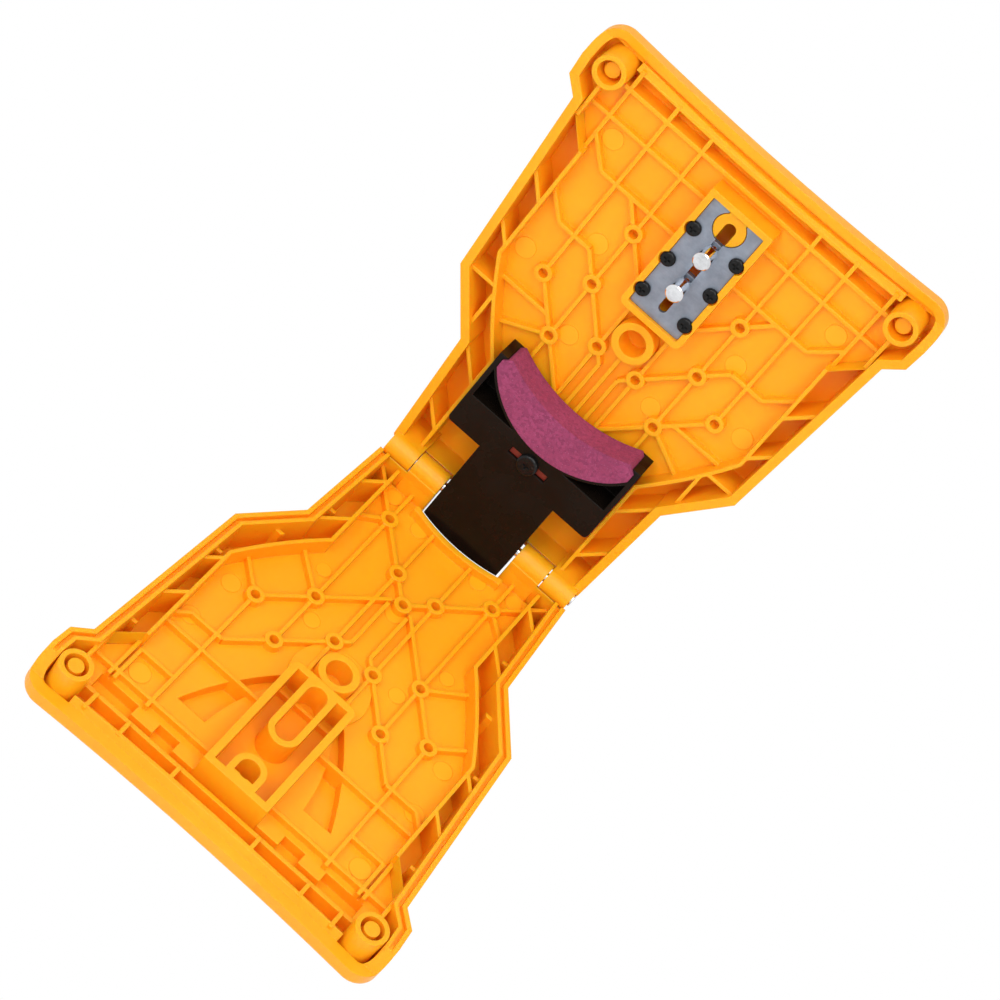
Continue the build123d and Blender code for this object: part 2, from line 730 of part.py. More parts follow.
def pin_cover():
    body = shell(PIN_RIM) + panel(PIN_RIM, END_FACE_Y)
    level_web = ((CHANNEL_HALF, LEVEL_WEB_Y), (SHOULDER_HALF, LEVEL_WEB_Y))
    upright_web = ((UPRIGHT_WEB_X, NECK_Y), (UPRIGHT_WEB_X, LEVEL_WEB_Y))
    body += gussets(PIN_RIM, [level_web, upright_web])
    body += mouth_end()
    body -= mouth_cut()
    limit = panel_outline() & offset(outline(), amount=-PIN_RIM + WELD, kind=Kind.INTERSECTION)
    limit = limit & rect(-EAR_HALF, EAR_HALF, CHANNEL_END_Y, END_WALL_Y)
    body += ribs(pin_cover_ribs(), PIN_NODES, limit)
    body += end_ribs((column(2), column(3), PANEL_HALF + SIDE_WALL))
    body += end_rib()
    body += middle_ring() + boss_posts() + boss_webs()
    body -= slab(inner_well(), FLOOR_TOP, 1)
    body += pin_frame()
    body -= node_holes(PIN_NODES)
    body -= ring_bore() + boss_bores()
    body += boss_cores(RIM_TOP - SOCKET_DROP)
    near = CHANNEL_END_Y + SKIN
    far = END_RIB_Y - SKIN
    body -= outer_recess(near, far, FRAME_HALF + 1, FRAME_NEAR_Y - 1, FRAME_FAR_Y + 1)
    body += sled_bed() + guide_walls()
    inner = KNUCKLE_SPLIT + KNUCKLE_GAP / 2
    body -= barrel_room(-inner, inner)
    for x0, x1 in ((-HINGE_HALF, -inner), (inner, HINGE_HALF)):
        body += knuckle(x0, x1)
    body -= tail_gate()
    body -= hinge_bore(HINGE_PIN_R + SEAT)
    head_room = extrude(Plane.YZ.offset(HINGE_HALF) * Circle(HINGE_HEAD_R + SLIDE_FIT), amount=5)
    body -= head_room + mirror(head_room, about=Plane.YZ)
    return body


def inner_well():
    """Plan of the space inside the pin frame."""
    return rect(-plate_half(), plate_half(), plate_near(), plate_far())


def end_rib():
    """Transverse rib along the panel's far edge."""
    half = PANEL_HALF + 4
    return slab(rect(-half, half, END_RIB_Y - END_RIB_WIDTH, END_RIB_Y), FLOOR_TOP - WELD, RIB_TOP)


def tail_gate():
    """Opening in the hinge end wall for the sled's tail."""
    half = TAIL_HALF + SLIDE_FIT
    low = -TAIL_DROP - SLIDE_FIT
    return slab(rect(-half, half, -KNUCKLE_R - 8, CHANNEL_END_Y), low, 2)


# ------------------------------------------------------------------ clamp cover
def clamp_frame():
    """Frame with the slot boss and the D boss that go over the bar pins."""
    outer = rect(-CLAMP_FRAME_HALF, CLAMP_FRAME_HALF, CLAMP_FRAME_NEAR_Y, CLAMP_FRAME_FAR_Y)
    outer = fillet(outer.vertices().sort_by(Axis.Y)[:2], FRAME_CORNER_R)
    body = slab(outer, -DEPTH, FRAME_TOP)
    half = CLAMP_FRAME_HALF - CLAMP_FRAME_WALL
    near = CLAMP_FRAME_NEAR_Y + CLAMP_FRAME_WALL
    far = CLAMP_FRAME_FAR_Y - CLAMP_FRAME_WALL
    well = rect(-half, half, near, far)
    slot_half = SLOT_BOSS_BORE_HALF + SLOT_BOSS_WALL
    slot_end = SLOT_BOSS_BORE_FAR_Y - SLOT_BOSS_BORE_HALF
    well -= rect(-slot_half, slot_half, near - 1, slot_end)
    well -= disc(0, slot_end, slot_half)
    d_half = D_BORE_HALF + D_WALL
    d_centre = D_BORE_NEAR_Y + D_BORE_HALF
    well -= rect(-d_half, d_half, d_centre, far + 1)
    well -= disc(0, d_centre, d_half)
    body -= slab(well, CLAMP_FRAME_FLOOR, 1)
    bore = rect(
        -SLOT_BOSS_BORE_HALF,
        SLOT_BOSS_BORE_HALF,
        SLOT_BOSS_BORE_NEAR_Y + SLOT_BOSS_BORE_HALF,
        slot_end,
    )
    bore = bore + disc(0, slot_end, SLOT_BOSS_BORE_HALF)
    bore = bore + disc(0, SLOT_BOSS_BORE_NEAR_Y + SLOT_BOSS_BORE_HALF, SLOT_BOSS_BORE_HALF)
    body -= slab(bore, CLAMP_FRAME_FLOOR, 1)
    d_bore = rect(-D_BORE_HALF, D_BORE_HALF, d_centre, D_BORE_FAR_Y)
    d_bore = d_bore + disc(0, d_centre, D_BORE_HALF)
    body -= slab(d_bore, FLOOR_TOP, 1)
    cross = rect(-half, half, CROSS_RIB_Y, CROSS_RIB_Y + RIB_WIDTH)
    body += slab(cross, CLAMP_FRAME_FLOOR - 0.3, CLAMP_FRAME_FLOOR + CROSS_RIB_HEIGHT)
    return body


def horn_recess(side):
    """Curved three-cornered recess beside the clamp frame, tapering to its corner."""
    root = CLAMP_FRAME_HALF
    span = HORN_HALF - root
    length = HORN_FAR_Y - HORN_NEAR_Y
    foot = HORN_HALF - HORN_ROOT
    outer_middle = (root + 0.53 * span, HORN_NEAR_Y + 0.44 * length)
    inner_middle = (root + 0.26 * span, HORN_NEAR_Y + 0.57 * length)
    tip_y = HORN_NEAR_Y + 0.2 * length
    outer = ThreePointArc((root, HORN_NEAR_Y), outer_middle, (HORN_HALF, HORN_FAR_Y))
    base = Line((HORN_HALF, HORN_FAR_Y), (foot, HORN_FAR_Y))
    inner = ThreePointArc((foot, HORN_FAR_Y), inner_middle, (root, tip_y))
    close = Line((root, tip_y), (root, HORN_NEAR_Y))
    plan = face_between(outer, base, inner, close)
    if side < 0:
        plan = mirror(plan, about=Plane.YZ)
    return slab(plan, FLOOR_TOP, 1)


def clamp_ribs():
    x2 = column(2)
    x3 = column(3)
    b_end = CLAMP_BEND_X
    d_slope = LATTICE_D_SLOPE
    d_out = CHANNEL_HALF + SIDE_WALL
    edge = PANEL_HALF + SIDE_WALL
    frame = CLAMP_FRAME_HALF - 1
    rows = line_y(LATTICE_B, b_end)
    strips = [
        ((x2, WAIST_NEAR_Y), (x2, LATTICE_B)),
        ((x3, line_y(LATTICE_A, x3)), (x3, END_RIB_Y)),
        ((column(1), WAIST_NEAR_Y), (column(1), line_y(LATTICE_B, NODE_X0))),
        ((column(1), line_y(LATTICE_B, NODE_X0)), (column(1), CLAMP_FRAME_NEAR_Y)),
        ((PAIR_HALF, CHANNEL_END_Y), (PAIR_HALF, line_y(LATTICE_B, PAIR_HALF))),
        ((PAIR_HALF, line_y(LATTICE_B, PAIR_HALF)), (b_end, rows)),
        ((PAIR_HALF, line_y(LATTICE_A, PAIR_HALF)), (x3, line_y(LATTICE_A, x3))),
        ((x3, line_y(LATTICE_A, x3)), (edge, line_y(LATTICE_A, x3) + CLAMP_SPUR_B_SLOPE * (edge - x3))),
        ((x2, LATTICE_A), (x3, LATTICE_A + CLAMP_SPUR_A_SLOPE * NODE_DX)),
        ((0, line_y(LATTICE_D, 0, d_slope)), (d_out, line_y(LATTICE_D, d_out, d_slope))),
        ((x2, LATTICE_D), (d_out, LATTICE_D + TURN)),
        ((b_end, rows), (PANEL_HALF - TURN / 2, rows)),
        ((PANEL_HALF - TURN / 2, rows), (edge, rows + TURN / 2 + SIDE_WALL)),
        ((frame, CLAMP_ROW_A), (edge, CLAMP_ROW_A)),
        ((frame, CLAMP_ROW_C), (EAR_HALF, CLAMP_ROW_C)),
        ((x3, CLAMP_ROW_B), (PANEL_HALF - 1, CLAMP_ROW_B)),
        ((PANEL_HALF - 1, CLAMP_ROW_B), (PANEL_HALF - 1, END_RIB_Y)),
        edge_rib(),
    ]
    return strips


CLAMP_NODES = lattice_nodes(
    [
        (0, line_y(LATTICE_D, 0, LATTICE_D_SLOPE)),
        (1, line_y(LATTICE_D, NODE_X0, LATTICE_D_SLOPE)),
        (2, LATTICE_D),
        (1, line_y(LATTICE_B, NODE_X0)),
        (2, LATTICE_A),
        (2, LATTICE_B),
        (3, line_y(LATTICE_A, column(3))),
    ]
)


def waist_panel():
    """The clamp cover's ribbed panel goes on through the waist to the tail cut-out."""
    plan = rect(-CHANNEL_HALF - 1, CHANNEL_HALF + 1, WAIST_NEAR_Y, CHANNEL_END_Y + 1)
    return slab(plan, FLOOR_TOP - WELD, PANEL_TOP)


def waist_webs(rim_width):
    """The slanting ribs of the waist go on across the side channels to the rim."""
    start = (CHANNEL_HALF, line_y(LATTICE_D, CHANNEL_HALF, LATTICE_D_SLOPE))
    end = (WAIST_HALF, line_y(LATTICE_D, WAIST_HALF, LATTICE_D_SLOPE))
    inside = offset(outline(), amount=-rim_width + WELD, kind=Kind.INTERSECTION)
    plan = both_sides([(start, end)], RIB_WIDTH) & (inside - panel_outline())
    return slab(plan, FLOOR_TOP - WELD, WAIST_WEB_TOP)


def frame_room():
    """Space inside the clamp frame's walls, before its bosses go in."""
    half = CLAMP_FRAME_HALF - CLAMP_FRAME_WALL
    near = CLAMP_FRAME_NEAR_Y + CLAMP_FRAME_WALL
    far = CLAMP_FRAME_FAR_Y - CLAMP_FRAME_WALL
    return slab(rect(-half, half, near, far), FLOOR_TOP, 1)


def rim_arc(offset_y):
    """Curved edge of the tail cut-out, moved along y."""
    half = TAIL_OPENING_HALF
    return ThreePointArc(
        (half, RIM_CUT_Y + offset_y),
        (0, RIM_CUT_Y + RIM_CUT_SAG + offset_y),
        (-half, RIM_CUT_Y + offset_y),
    )


def tail_cut():
    """Plan of the tail cut-out in the clamp cover's hinge end."""
    half = TAIL_OPENING_HALF
    return face_between(
        rim_arc(0),
        Line((-half, RIM_CUT_Y), (-half, -KNUCKLE_R - 1)),
        Line((-half, -KNUCKLE_R - 1), (half, -KNUCKLE_R - 1)),
        Line((half, -KNUCKLE_R - 1), (half, RIM_CUT_Y)),
    )


def tail_rim():
    """Curved wall round the tail cut-out."""
    half = TAIL_OPENING_HALF
    plan = face_between(
        rim_arc(-0.5),
        Line((-half, RIM_CUT_Y - 0.5), (-half - SKIN, RIM_CUT_Y - 0.5)),
        Line((-half - SKIN, RIM_CUT_Y - 0.5), (-half - SKIN, RIM_CUT_Y + SKIN)),
        Line((-half - SKIN, RIM_CUT_Y + SKIN), (-half, RIM_CUT_Y + SKIN)),
        rim_arc(SKIN),
        Line((half, RIM_CUT_Y + SKIN), (half + SKIN, RIM_CUT_Y + SKIN)),
        Line((half + SKIN, RIM_CUT_Y + SKIN), (half + SKIN, RIM_CUT_Y - 0.5)),
        Line((half + SKIN, RIM_CUT_Y - 0.5), (half, RIM_CUT_Y - 0.5)),
    )
    return slab(plan, FLOOR_TOP - WELD, TAIL_RIM_TOP)


def far_blocks():
    """Stepped blocks on the far edge of the clamp cover's panel."""
    body = None
    for side in (-1, 1):
        for x0, x1 in ((CLAMP_FRAME_HALF - 1, NEAR_BLOCK_X), FAR_BLOCK_X):
            low = min(side * x0, side * x1)
            high = max(side * x0, side * x1)
            plan = rect(low, high, DEEP_END_Y - SKIN, DEEP_END_Y + BLOCK_LENGTH)
            block = slab(plan, FLOOR_TOP - WELD, PANEL_TOP)
            body = block if body is None else body + block
    return body


def clamp_cover():
    rim_width = CLAMP_LIP + CLAMP_GROOVE + CLAMP_BEAD
    body = shell(rim_width)
    deep_half = PANEL_HALF + 3
    deep_end = slab(rect(-deep_half, deep_half, DEEP_END_Y, END_RIB_Y + 1), FLOOR_TOP, 1)
    body += panel(rim_width, WAIST_NEAR_Y) + waist_panel()
    body -= deep_end
    body += far_blocks()
    body += gussets(rim_width) + rim_stubs(rim_width) + waist_webs(rim_width)
    body += mouth_end()
    groove = offset(outline(), amount=-CLAMP_LIP, kind=Kind.INTERSECTION)
    groove -= offset(outline(), amount=-CLAMP_LIP - CLAMP_GROOVE, kind=Kind.INTERSECTION)
    body -= slab(groove, RIM_TOP - CLAMP_GROOVE_DEPTH, 1)
    body -= mouth_cut()
    limit = panel_outline() & offset(outline(), amount=-rim_width + WELD, kind=Kind.INTERSECTION)
    limit = limit & rect(-EAR_HALF, EAR_HALF, WAIST_NEAR_Y, DEEP_END_Y)
    limit -= tail_cut()
    body += slab(disc(0, PLATEAU_Y, PLATEAU_R), FLOOR_TOP, PANEL_TOP + PLATEAU_RISE)
    body += ribs(clamp_ribs(), CLAMP_NODES, limit)
    body += end_ribs((STRIP_RIB_X, column(3), PANEL_HALF - 1))
    body += slab(
        rect(-PANEL_HALF - 4, PANEL_HALF + 4, END_RIB_Y - END_RIB_WIDTH, END_RIB_Y),
        FLOOR_TOP - WELD,
        RIB_TOP - 1.5,
    )
    body -= horn_recess(1) + horn_recess(-1)
    horn_line = ((CLAMP_FRAME_HALF - 1, CLAMP_ROW_A), (HORN_HALF - 6, CLAMP_ROW_A))
    horn_rib = both_sides([horn_line], RIB_WIDTH)
    body += slab(horn_rib, FLOOR_TOP - WELD, RIB_TOP)
    body -= frame_room()
    body += middle_ring() + boss_posts() + boss_webs() + clamp_frame()
    body -= node_holes(CLAMP_NODES)
    body -= ring_bore() + boss_bores()
    body += boss_cores(RIM_TOP - PEG_DROP)
    near = RIM_CUT_Y + RIM_CUT_SAG + 2 * SKIN
    far = DEEP_END_Y - SKIN
    body -= outer_recess(near, far, HORN_HALF + SKIN, CLAMP_FRAME_NEAR_Y - 1, CLAMP_FRAME_FAR_Y)
    body += tail_rim()
    body -= slab(tail_cut(), -DEPTH - 1, 1)
    outer = KNUCKLE_SPLIT - KNUCKLE_GAP / 2
    body -= barrel_room(-WAIST_HALF - 1, -outer) + barrel_room(outer, WAIST_HALF + 1)
    for x0, x1 in ((-outer, -TAIL_OPENING_HALF), (TAIL_OPENING_HALF, outer)):
        body += knuckle(x0, x1)
    body -= hinge_bore(HINGE_PIN_R + RUN_FIT)
    return body


# ------------------------------------------------------------------ steel parts
def pin_plate():
    plate = slab(plate_plan(0), PLATE_TOP - PLATE_T + SEAT, PLATE_TOP)
    for x, y in screw_places():
        plate -= cylinder(x, y, SCREW_SHANK_R + SLIDE_FIT, PLATE_TOP - PLATE_T - 1, PLATE_TOP + 1)
    return plate


def bar_pin(y):
    """Flat-topped pin that stands on the plate; its stem passes the slot."""
    bottom = PLATE_TOP + SEAT
    stem_end = PLATE_TOP - PLATE_T - NUT_HEIGHT - STEM_PROTRUSION
    profile = [
        (0, stem_end),
        (PIN_STEM_R, stem_end),
        (PIN_STEM_R, bottom),
        (PIN_NECK_R, bottom),
        (PIN_NECK_R, bottom + PIN_NECK_LENGTH * 0.4),
        (PIN_R, bottom + PIN_NECK_LENGTH),
        (PIN_R, PIN_TOP_Z - PIN_CHAMFER),
        (PIN_R - PIN_CHAMFER, PIN_TOP_Z),
        (0, PIN_TOP_Z),
    ]
    face = make_face(Polyline(*profile, profile[0]))
    return Pos(0, y, 0) * revolve(Plane.XZ * face, axis=Axis.Z)


def pin_nut(y):
    top = PLATE_TOP - PLATE_T - SEAT
    hexagon = RegularPolygon(NUT_FLATS / sqrt(3), 6) - Circle(PIN_STEM_R + SEAT)
    return Pos(0, y, 0) * slab(hexagon, top - NUT_HEIGHT, top)


def cross_recess(z_top):
    cross = Rectangle(CROSS_LENGTH, CROSS_WIDTH) + Rectangle(CROSS_WIDTH, CROSS_LENGTH)
    return slab(cross, z_top - CROSS_DEPTH, z_top + 1)


def pan_screw(head_r, head_h, shank_r, length, seat_z):
    """Pan-head screw with a cross recess, standing upright on seat_z."""
    head = slab(Circle(head_r), seat_z, seat_z + head_h)
    top = head.faces().sort_by(Axis.Z)[-1]
    head = fillet(top.edges(), head_h * 0.55)
    head -= cross_recess(seat_z + head_h)
    return head + slab(Circle(shank_r), seat_z - length, seat_z + 0.2)


def plate_screw(x, y):
    screw = pan_screw(SCREW_HEAD_R, SCREW_HEAD_H, SCREW_SHANK_R, SCREW_LENGTH, PLATE_TOP + SEAT)
    return Pos(x, y, 0) * screw


def hinge_pin():
    """Headed steel rod through all four barrels and the sled's tail."""
    length = 2 * HINGE_HALF
    rod = extrude(Plane.YZ * Circle(HINGE_PIN_R), amount=length)
    head = extrude(Plane.YZ * Circle(HINGE_HEAD_R), amount=HINGE_HEAD_T)
    rim = head.edges().filter_by(GeomType.CIRCLE).sort_by(Axis.X)[-1:]
    head = Pos(length, 0, 0) * fillet(rim, HINGE_HEAD_T * 0.5)
    return Pos(-HINGE_HALF + SEAT, 0, 0) * (rod + head)


# ------------------------------------------------------------------ sled
def stone_back(grow):
    """Disc whose edge is the stone's convex back."""
    return disc(0, STONE_BACK_Y + STONE_BACK_R, STONE_BACK_R + grow)


def stone_face(grow):
    """Disc whose edge is the stone's concave working face."""
    return disc(0, STONE_FACE_Y + STONE_FACE_R, STONE_FACE_R + grow)


def face_y(x):
    """y of the working face at x."""
    return STONE_FACE_Y + STONE_FACE_R - sqrt(STONE_FACE_R**2 - x**2)


def stone_plan(grow):
    """Plan of the curved stone between its two arcs, with cropped ends."""
    half = STONE_HALF + grow
    inner = STONE_FACE_HALF
    edge_y = face_y(inner)
    corners = [
        (half, STONE_BACK_Y - 1),
        (half, STONE_SIDE_Y),
        (inner + grow, edge_y + grow),
        (-inner - grow, edge_y + grow),
        (-half, STONE_SIDE_Y),
        (-half, STONE_BACK_Y - 1),
    ]
    ends = make_face(Polyline(*corners, corners[0]))
    return (stone_back(grow) & ends) - stone_face(0)


def stone():
    return slab(stone_plan(0), SLED_FLOOR + STONE_SEAT + SEAT, STONE_TOP)


def tail():
    """Plan of the sled's tail with its bulging end."""
    return face_between(
        Line((-TAIL_HALF, HEAD_NEAR_Y + 1), (-TAIL_HALF, TAIL_END_Y)),
        ThreePointArc(
            (-TAIL_HALF, TAIL_END_Y), (0, TAIL_END_Y - TAIL_BULGE), (TAIL_HALF, TAIL_END_Y)
        ),
        Line((TAIL_HALF, TAIL_END_Y), (TAIL_HALF, HEAD_NEAR_Y + 1)),
        Line((TAIL_HALF, HEAD_NEAR_Y + 1), (-TAIL_HALF, HEAD_NEAR_Y + 1)),
    )


def sled_block():
    """Plan of the sled's wide head."""
    half = CHANNEL_HALF - SLIDE_FIT
    block = rect(-half, half, HEAD_NEAR_Y, ARM_END_Y)
    near = block.vertices().sort_by(Axis.Y)[:2]
    return fillet(near, SLED_CORNER_R)


def stone_room():
    """Plan of the space between the arms; their tips turn in along the stone's ends."""
    half = CHANNEL_HALF - SLIDE_FIT - ARM_WIDTH
    run = STONE_HALF - STONE_FACE_HALF
    rise = face_y(STONE_FACE_HALF) - STONE_SIDE_Y
    start_x = STONE_HALF + TIP_FIT * rise / hypot(run, rise)
    start_y = STONE_SIDE_Y + TIP_FIT * run / hypot(run, rise)
    bend_y = start_y - (half - start_x) * rise / run
    tip_x = start_x - (ARM_END_Y - start_y) * run / rise
    right = [(half, POCKET_Y), (half, bend_y), (tip_x, ARM_END_Y), (tip_x, ARM_END_Y + 5)]
    left = [mirrored(point) for point in reversed(right)]
    return make_face(Polyline(*right, *left, right[0]))


def sled():
    """T-shaped carrier: wide head round the stone, tail out past the hinge."""
    seat_z = SLED_FLOOR + STONE_SEAT
    body = slab(sled_block(), SLED_FLOOR, SLED_TOP)
    body += slab(tail(), -TAIL_DROP, SLED_TOP)
    wall = stone_back(STONE_WALL) & rect(-CHANNEL_HALF, CHANNEL_HALF, POCKET_Y - 1, STONE_SIDE_Y)
    body -= slab(stone_room() - wall, seat_z, 20)
    body -= slab(stone_plan(SLIDE_FIT / 2), seat_z, 20)
    front = stone_face(SEAT_SETBACK)
    body -= slab(front & rect(-SEAT_HALF, SEAT_HALF, POCKET_Y, ARM_END_Y + 1), SLED_FLOOR - 1, seat_z + 1)
    body -= slab(front & stone_room(), seat_z, 20)
    for side in (-1, 1):
        body += spring_lug(side)
    slot_y = SLED_SLOT_WIDTH / 2
    slot = rect(-SLED_SLOT_HALF, SLED_SLOT_HALF, SLED_SLOT_Y - slot_y, SLED_SLOT_Y + slot_y)
    body -= slab(slot, SLED_FLOOR - 1, 20)
    body -= keeper_room()
    return body - pin_slot()


def pin_slot():
    """Long slot across the tail for the hinge pin; its ends limit the travel."""
    half_height = HINGE_PIN_R + 3 * RUN_FIT
    near = -TRAVEL
    profile = Pos(near / 2, 0) * Rectangle(-near, 2 * half_height)
    profile = profile + Pos(near, 0) * Circle(half_height) + Circle(half_height)
    return extrude(Plane.YZ * profile, amount=TAIL_HALF + 1, both=True)


def spring_lug(side):
    """Lug under the tail that bears on the near end of a return spring."""
    half = SPRING_R - 0.5
    x = side * SPRING_X
    plan = rect(x - half, x + half, SPRING_NEAR_Y - LUG_T, SPRING_NEAR_Y)
    return slab(plan, SPRING_AXIS_Z - 1, -TAIL_DROP + 0.5)


def keeper_room():
    """Shallow seat for the keeper under the sled."""
    grow = SLIDE_FIT / 2
    plan = rect(-KEEPER_HALF - grow, KEEPER_HALF + grow, KEEPER_NEAR_Y - grow, KEEPER_FAR_Y + grow)
    return slab(plan, SLED_FLOOR - 1, SLED_FLOOR + STONE_SEAT)


def stone_keeper():
    """Strip under the stone that the sled screw draws up, with keys in the sled's slot."""
    plan = rect(-KEEPER_HALF, KEEPER_HALF, KEEPER_NEAR_Y, KEEPER_FAR_Y)
    plan = fillet(plan.vertices(), 1.5)
    top = SLED_FLOOR + STONE_SEAT - SEAT
    body = slab(plan, SLED_FLOOR + 0.1, top)
    fit = SLIDE_FIT / 2
    for side in (-1, 1):
        inner = side * KEY_NEAR_X
        outer = side * (SLED_SLOT_HALF - fit)
        half = SLED_SLOT_WIDTH / 2 - fit
        key = rect(min(inner, outer), max(inner, outer), SLED_SLOT_Y - half, SLED_SLOT_Y + half)
        body += slab(key, top - WELD, SLED_TOP - KEY_DROP)
    return body - cylinder(0, SLED_SLOT_Y, SLED_SCREW_R + SEAT, -DEPTH, 0)


def sled_screw():
    seat_z = SLED_TOP + SEAT
    length = seat_z - SLED_FLOOR - 0.2
    screw = pan_screw(SLED_SCREW_HEAD_R, SLED_SCREW_HEAD_H, SLED_SCREW_R, length, seat_z)
    return Pos(0, SLED_SLOT_Y, 0) * screw


def return_spring(side):
    """Closed stand-in tube of the coil spring between the sled's lug and its post."""
    tube = Circle(SPRING_R) - Circle(SPRING_R - 2 * SPRING_WIRE_R)
    length = SPRING_LENGTH - 2 * SEAT
    body = extrude(Plane.XZ * tube, amount=-length)
    return Pos(side * SPRING_X, SPRING_NEAR_Y + SEAT, SPRING_AXIS_Z) * body


# ------------------------------------------------------------------ assembly
def lying(piece):
    """Places what belongs to the clamp cover: mouth towards -Y, inner side up."""
    return Rot(0, 0, 180) * piece


def standing(piece):
    """Places what belongs to the pin cover, swung open about the hinge axis."""
    return Rot(180 - OPEN_ANGLE, 0, 0) * piece


def pin_cover_pieces():
    parts = {
        "pin_cover": pin_cover(),
        "pin_plate": pin_plate(),
        "bar_pin_front": bar_pin(PIN_A_Y),
        "bar_pin_rear": bar_pin(PIN_A_Y - PIN_PITCH),
        "bar_pin_nut_front": pin_nut(PIN_A_Y),
        "bar_pin_nut_rear": pin_nut(PIN_A_Y - PIN_PITCH),
        "hinge_pin": hinge_pin(),
        "stone_sled": sled(),
        "grinding_stone": stone(),
        "stone_keeper": stone_keeper(),
        "sled_screw": sled_screw(),
        "return_spring_right": return_spring(1),
        "return_spring_left": return_spring(-1),
    }
    for index, (x, y) in enumerate(screw_places()):
        parts["plate_screw_" + str(index + 1)] = plate_screw(x, y)
    return parts


def assembly():
    parts = {"clamp_cover": lying(clamp_cover())}
    for name, piece in pin_cover_pieces().items():
        parts[name] = standing(piece)
    return parts


def main():
    parts = assembly()
    box = Compound(children=[Part() + piece for piece in parts.values()]).bounding_box()
    to_origin = Pos(-box.center().X, -box.center().Y, -box.min.Z)
    print("hinge axis in the exported frame:", to_origin.position)
    print("bounding box:", box.size)
    os.makedirs("parts", exist_ok=True)
    for name, piece in parts.items():
        export_step(to_origin * (Part() + piece), "parts/" + name + ".step")


main()
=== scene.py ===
"""Looks of the bar-mounted chainsaw sharpener, in metres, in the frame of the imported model."""
import json
import math

import bpy
from mathutils import Matrix, Vector

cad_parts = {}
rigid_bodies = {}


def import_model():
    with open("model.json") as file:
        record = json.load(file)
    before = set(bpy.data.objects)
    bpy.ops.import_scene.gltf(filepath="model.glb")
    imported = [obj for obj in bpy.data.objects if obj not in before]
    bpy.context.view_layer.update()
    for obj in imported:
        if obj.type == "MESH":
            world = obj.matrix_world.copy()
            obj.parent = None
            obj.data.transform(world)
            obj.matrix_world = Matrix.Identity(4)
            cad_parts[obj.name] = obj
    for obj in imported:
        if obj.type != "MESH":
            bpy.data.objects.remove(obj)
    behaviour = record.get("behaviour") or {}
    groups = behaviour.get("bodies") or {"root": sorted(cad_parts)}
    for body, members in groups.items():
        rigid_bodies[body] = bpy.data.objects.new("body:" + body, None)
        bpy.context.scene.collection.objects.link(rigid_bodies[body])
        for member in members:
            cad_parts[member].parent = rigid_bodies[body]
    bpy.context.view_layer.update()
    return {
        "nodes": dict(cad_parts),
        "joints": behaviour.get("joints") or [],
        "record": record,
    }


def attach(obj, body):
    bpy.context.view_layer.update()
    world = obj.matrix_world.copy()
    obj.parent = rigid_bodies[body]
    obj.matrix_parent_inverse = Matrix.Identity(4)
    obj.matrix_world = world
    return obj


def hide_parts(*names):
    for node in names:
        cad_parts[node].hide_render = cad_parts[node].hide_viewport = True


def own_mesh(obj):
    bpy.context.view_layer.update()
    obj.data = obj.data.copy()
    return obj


MM = 0.001

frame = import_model()
nodes = frame["nodes"]
joints = {joint["name"]: joint for joint in frame["joints"]}
hinge = Vector(joints["cover_hinge"]["pos_m"])
slide_axis = Vector(joints["sled_slide"]["axis"])

# Each cover's own frame: x along the hinge, y from the hinge to the mouth, z out of the
# inner side, with z = 0 on the parting plane.
LEAN = math.atan2(slide_axis.z, slide_axis.y)
ON_PIN_COVER = Matrix.Translation(hinge) @ Matrix.Rotation(LEAN, 4, "X")
ON_CLAMP_COVER = Matrix.Translation(hinge) @ Matrix.Rotation(math.pi, 4, "Z")


# ------------------------------------------------------------------ camera and light
CAMERA_PLACE = (0.03296, -0.84183, 1.01260)
CAMERA_RIGHT = (0.74835, 0.49936, 0.43659)
CAMERA_UP = (-0.66287, 0.53898, 0.51972)
CAMERA_BACK = (0.02422, -0.67834, 0.73435)
FOCAL_PIXELS = 3496.9
IMAGE_PIXELS = 1000.0
SENSOR_MM = 36.0
CLIP_NEAR = 0.01
CLIP_FAR = 50.0

LAMP_DISTANCE = 1.4
LAMPS_LOOK_AT = Vector((0.0, 0.0, 0.05))
# Name, direction of the lamp from the object, edge of the box in metres, watts. The first
# two directions are in the camera's own axes, the last in the object's.
CAMERA_LAMPS = (
    ("key_light", Vector((-0.20, 0.30, 0.93)), 0.6, 6.2),
    ("fill_light", Vector((0.26, -0.14, 0.95)), 0.6, 5.1),
)
TOP_LAMP = ("top_light", Vector((0.10, -0.15, 1.0)), 0.7, 4.5)

WHITE = (1.0, 1.0, 1.0, 1.0)
WORLD_LIGHT = 0.60
FLOOR_RADIUS = 7.0
FLOOR_STEPS = 64
FLOOR_DROP = 0.0001
FLOOR_SHADE = 0.86


def make_camera():
    """Camera of the scene; returns the turn from its own axes to the object's."""
    data = bpy.data.cameras.new("camera")
    data.sensor_width = SENSOR_MM
    data.lens = FOCAL_PIXELS / IMAGE_PIXELS * SENSOR_MM
    data.clip_start = CLIP_NEAR
    data.clip_end = CLIP_FAR
    camera = bpy.data.objects.new("camera", data)
    turn = Matrix((CAMERA_RIGHT, CAMERA_UP, CAMERA_BACK)).transposed().to_4x4()
    camera.matrix_world = Matrix.Translation(CAMERA_PLACE) @ turn
    bpy.context.scene.collection.objects.link(camera)
    bpy.context.scene.camera = camera
    return turn.to_3x3()


def soft_box(name, direction, size, watts):
    """Square soft light that looks at the object from a direction."""
    data = bpy.data.lights.new(name, "AREA")
    data.shape = "SQUARE"
    data.size = size
    data.energy = watts
    lamp = bpy.data.objects.new(name, data)
    away = direction.normalized()
    lamp.location = LAMPS_LOOK_AT + away * LAMP_DISTANCE
    lamp.rotation_mode = "QUATERNION"
    lamp.rotation_quaternion = (-away).to_track_quat("-Z", "Y")
    bpy.context.scene.collection.objects.link(lamp)


